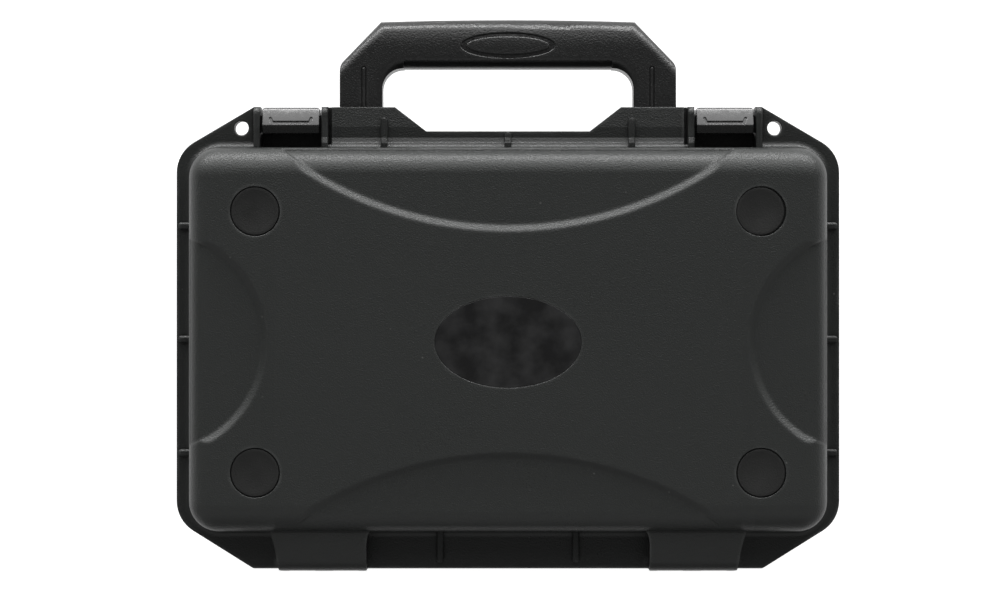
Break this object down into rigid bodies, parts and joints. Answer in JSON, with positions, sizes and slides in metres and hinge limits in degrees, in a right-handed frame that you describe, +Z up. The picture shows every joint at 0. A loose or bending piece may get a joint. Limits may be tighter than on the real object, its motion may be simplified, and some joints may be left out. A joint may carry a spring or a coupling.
{
  "type": "hard case",
  "caption": "Small moulded protective case with a hinged lid, two over-centre draw latches, a folding carry handle and padlock holes.",
  "frame": {"origin": "middle of the bounding box's base, on the ground under the feet", "axes": "+X to the case's left side seen from its front, +Y to the hinges at the rear, +Z up through the lid; the latches and the handle are at -Y"},
  "size_m": [0.3, 0.2508, 0.098],
  "materials": {
    "shell_plastic": "fine moulded texture",
    "latch_plastic": "glossy, slightly uneven",
    "handle_plastic": "satin",
    "pin_steel": "bright",
    "foot_rubber": "matte",
    "pad_rubber": "matte",
    "seal_rubber": "matte",
    "plate_plastic": "satin",
    "valve_plastic": "satin"
  },
  "bodies": {
    "base": {"base_shell": "shell_plastic", "foot_front_left": "foot_rubber", "foot_front_right": "foot_rubber", "foot_rear_left": "foot_rubber", "foot_rear_right": "foot_rubber", "latch_pin_left": "pin_steel", "latch_pin_right": "pin_steel", "handle_pin_left": "pin_steel", "handle_pin_right": "pin_steel", "hinge_pin_left": "pin_steel", "hinge_pin_right": "pin_steel", "valve_body": "valve_plastic", "valve_seal": "seal_rubber", "valve_nut": "valve_plastic"},
    "lid": {"lid_shell": "shell_plastic", "lid_gasket": "seal_rubber", "name_plate": "plate_plastic", "pad_front_left": "pad_rubber", "pad_front_right": "pad_rubber", "pad_rear_left": "pad_rubber", "pad_rear_right": "pad_rubber"},
    "handle": {"handle": "handle_plastic"},
    "latch_lever_left": {"latch_lever_left": "latch_plastic", "hook_pin_left": "pin_steel"},
    "latch_lever_right": {"latch_lever_right": "latch_plastic", "hook_pin_right": "pin_steel"},
    "latch_hook_left": {"latch_hook_left": "latch_plastic"},
    "latch_hook_right": {"latch_hook_right": "latch_plastic"}
  },
  "joints": [
    {"name": "lid_hinge", "type": "hinge", "parent": "base", "child": "lid", "pos_m": [0, 0.1213, 0.0693], "axis": [-1, 0, 0], "range_deg": [0, 105]},
    {"name": "latch_lever_left_pivot", "type": "hinge", "parent": "base", "child": "latch_lever_left", "pos_m": [0.09815, -0.0788, 0.058], "axis": [-1, 0, 0], "range_deg": [0, 85]},
    {"name": "latch_hook_left_pivot", "type": "hinge", "parent": "latch_lever_left", "child": "latch_hook_left", "pos_m": [0.09815, -0.0802, 0.05], "axis": [-1, 0, 0], "range_deg": [-107, 0]},
    {"name": "latch_lever_right_pivot", "type": "hinge", "parent": "base", "child": "latch_lever_right", "pos_m": [-0.09815, -0.0788, 0.058], "axis": [-1, 0, 0], "range_deg": [0, 85]},
    {"name": "latch_hook_right_pivot", "type": "hinge", "parent": "latch_lever_right", "child": "latch_hook_right", "pos_m": [-0.09815, -0.0802, 0.05], "axis": [-1, 0, 0], "range_deg": [-107, 0]},
    {"name": "handle_pivot", "type": "hinge", "parent": "base", "child": "handle", "pos_m": [0, -0.0768, 0.0525], "axis": [1, 0, 0], "range_deg": [0, 90]}
  ],
  "couplings": [
    {"joint": "latch_hook_left_pivot", "follows": "latch_lever_left_pivot", "ratio": -1.25},
    {"joint": "latch_hook_right_pivot", "follows": "latch_lever_right_pivot", "ratio": -1.25}
  ]
}
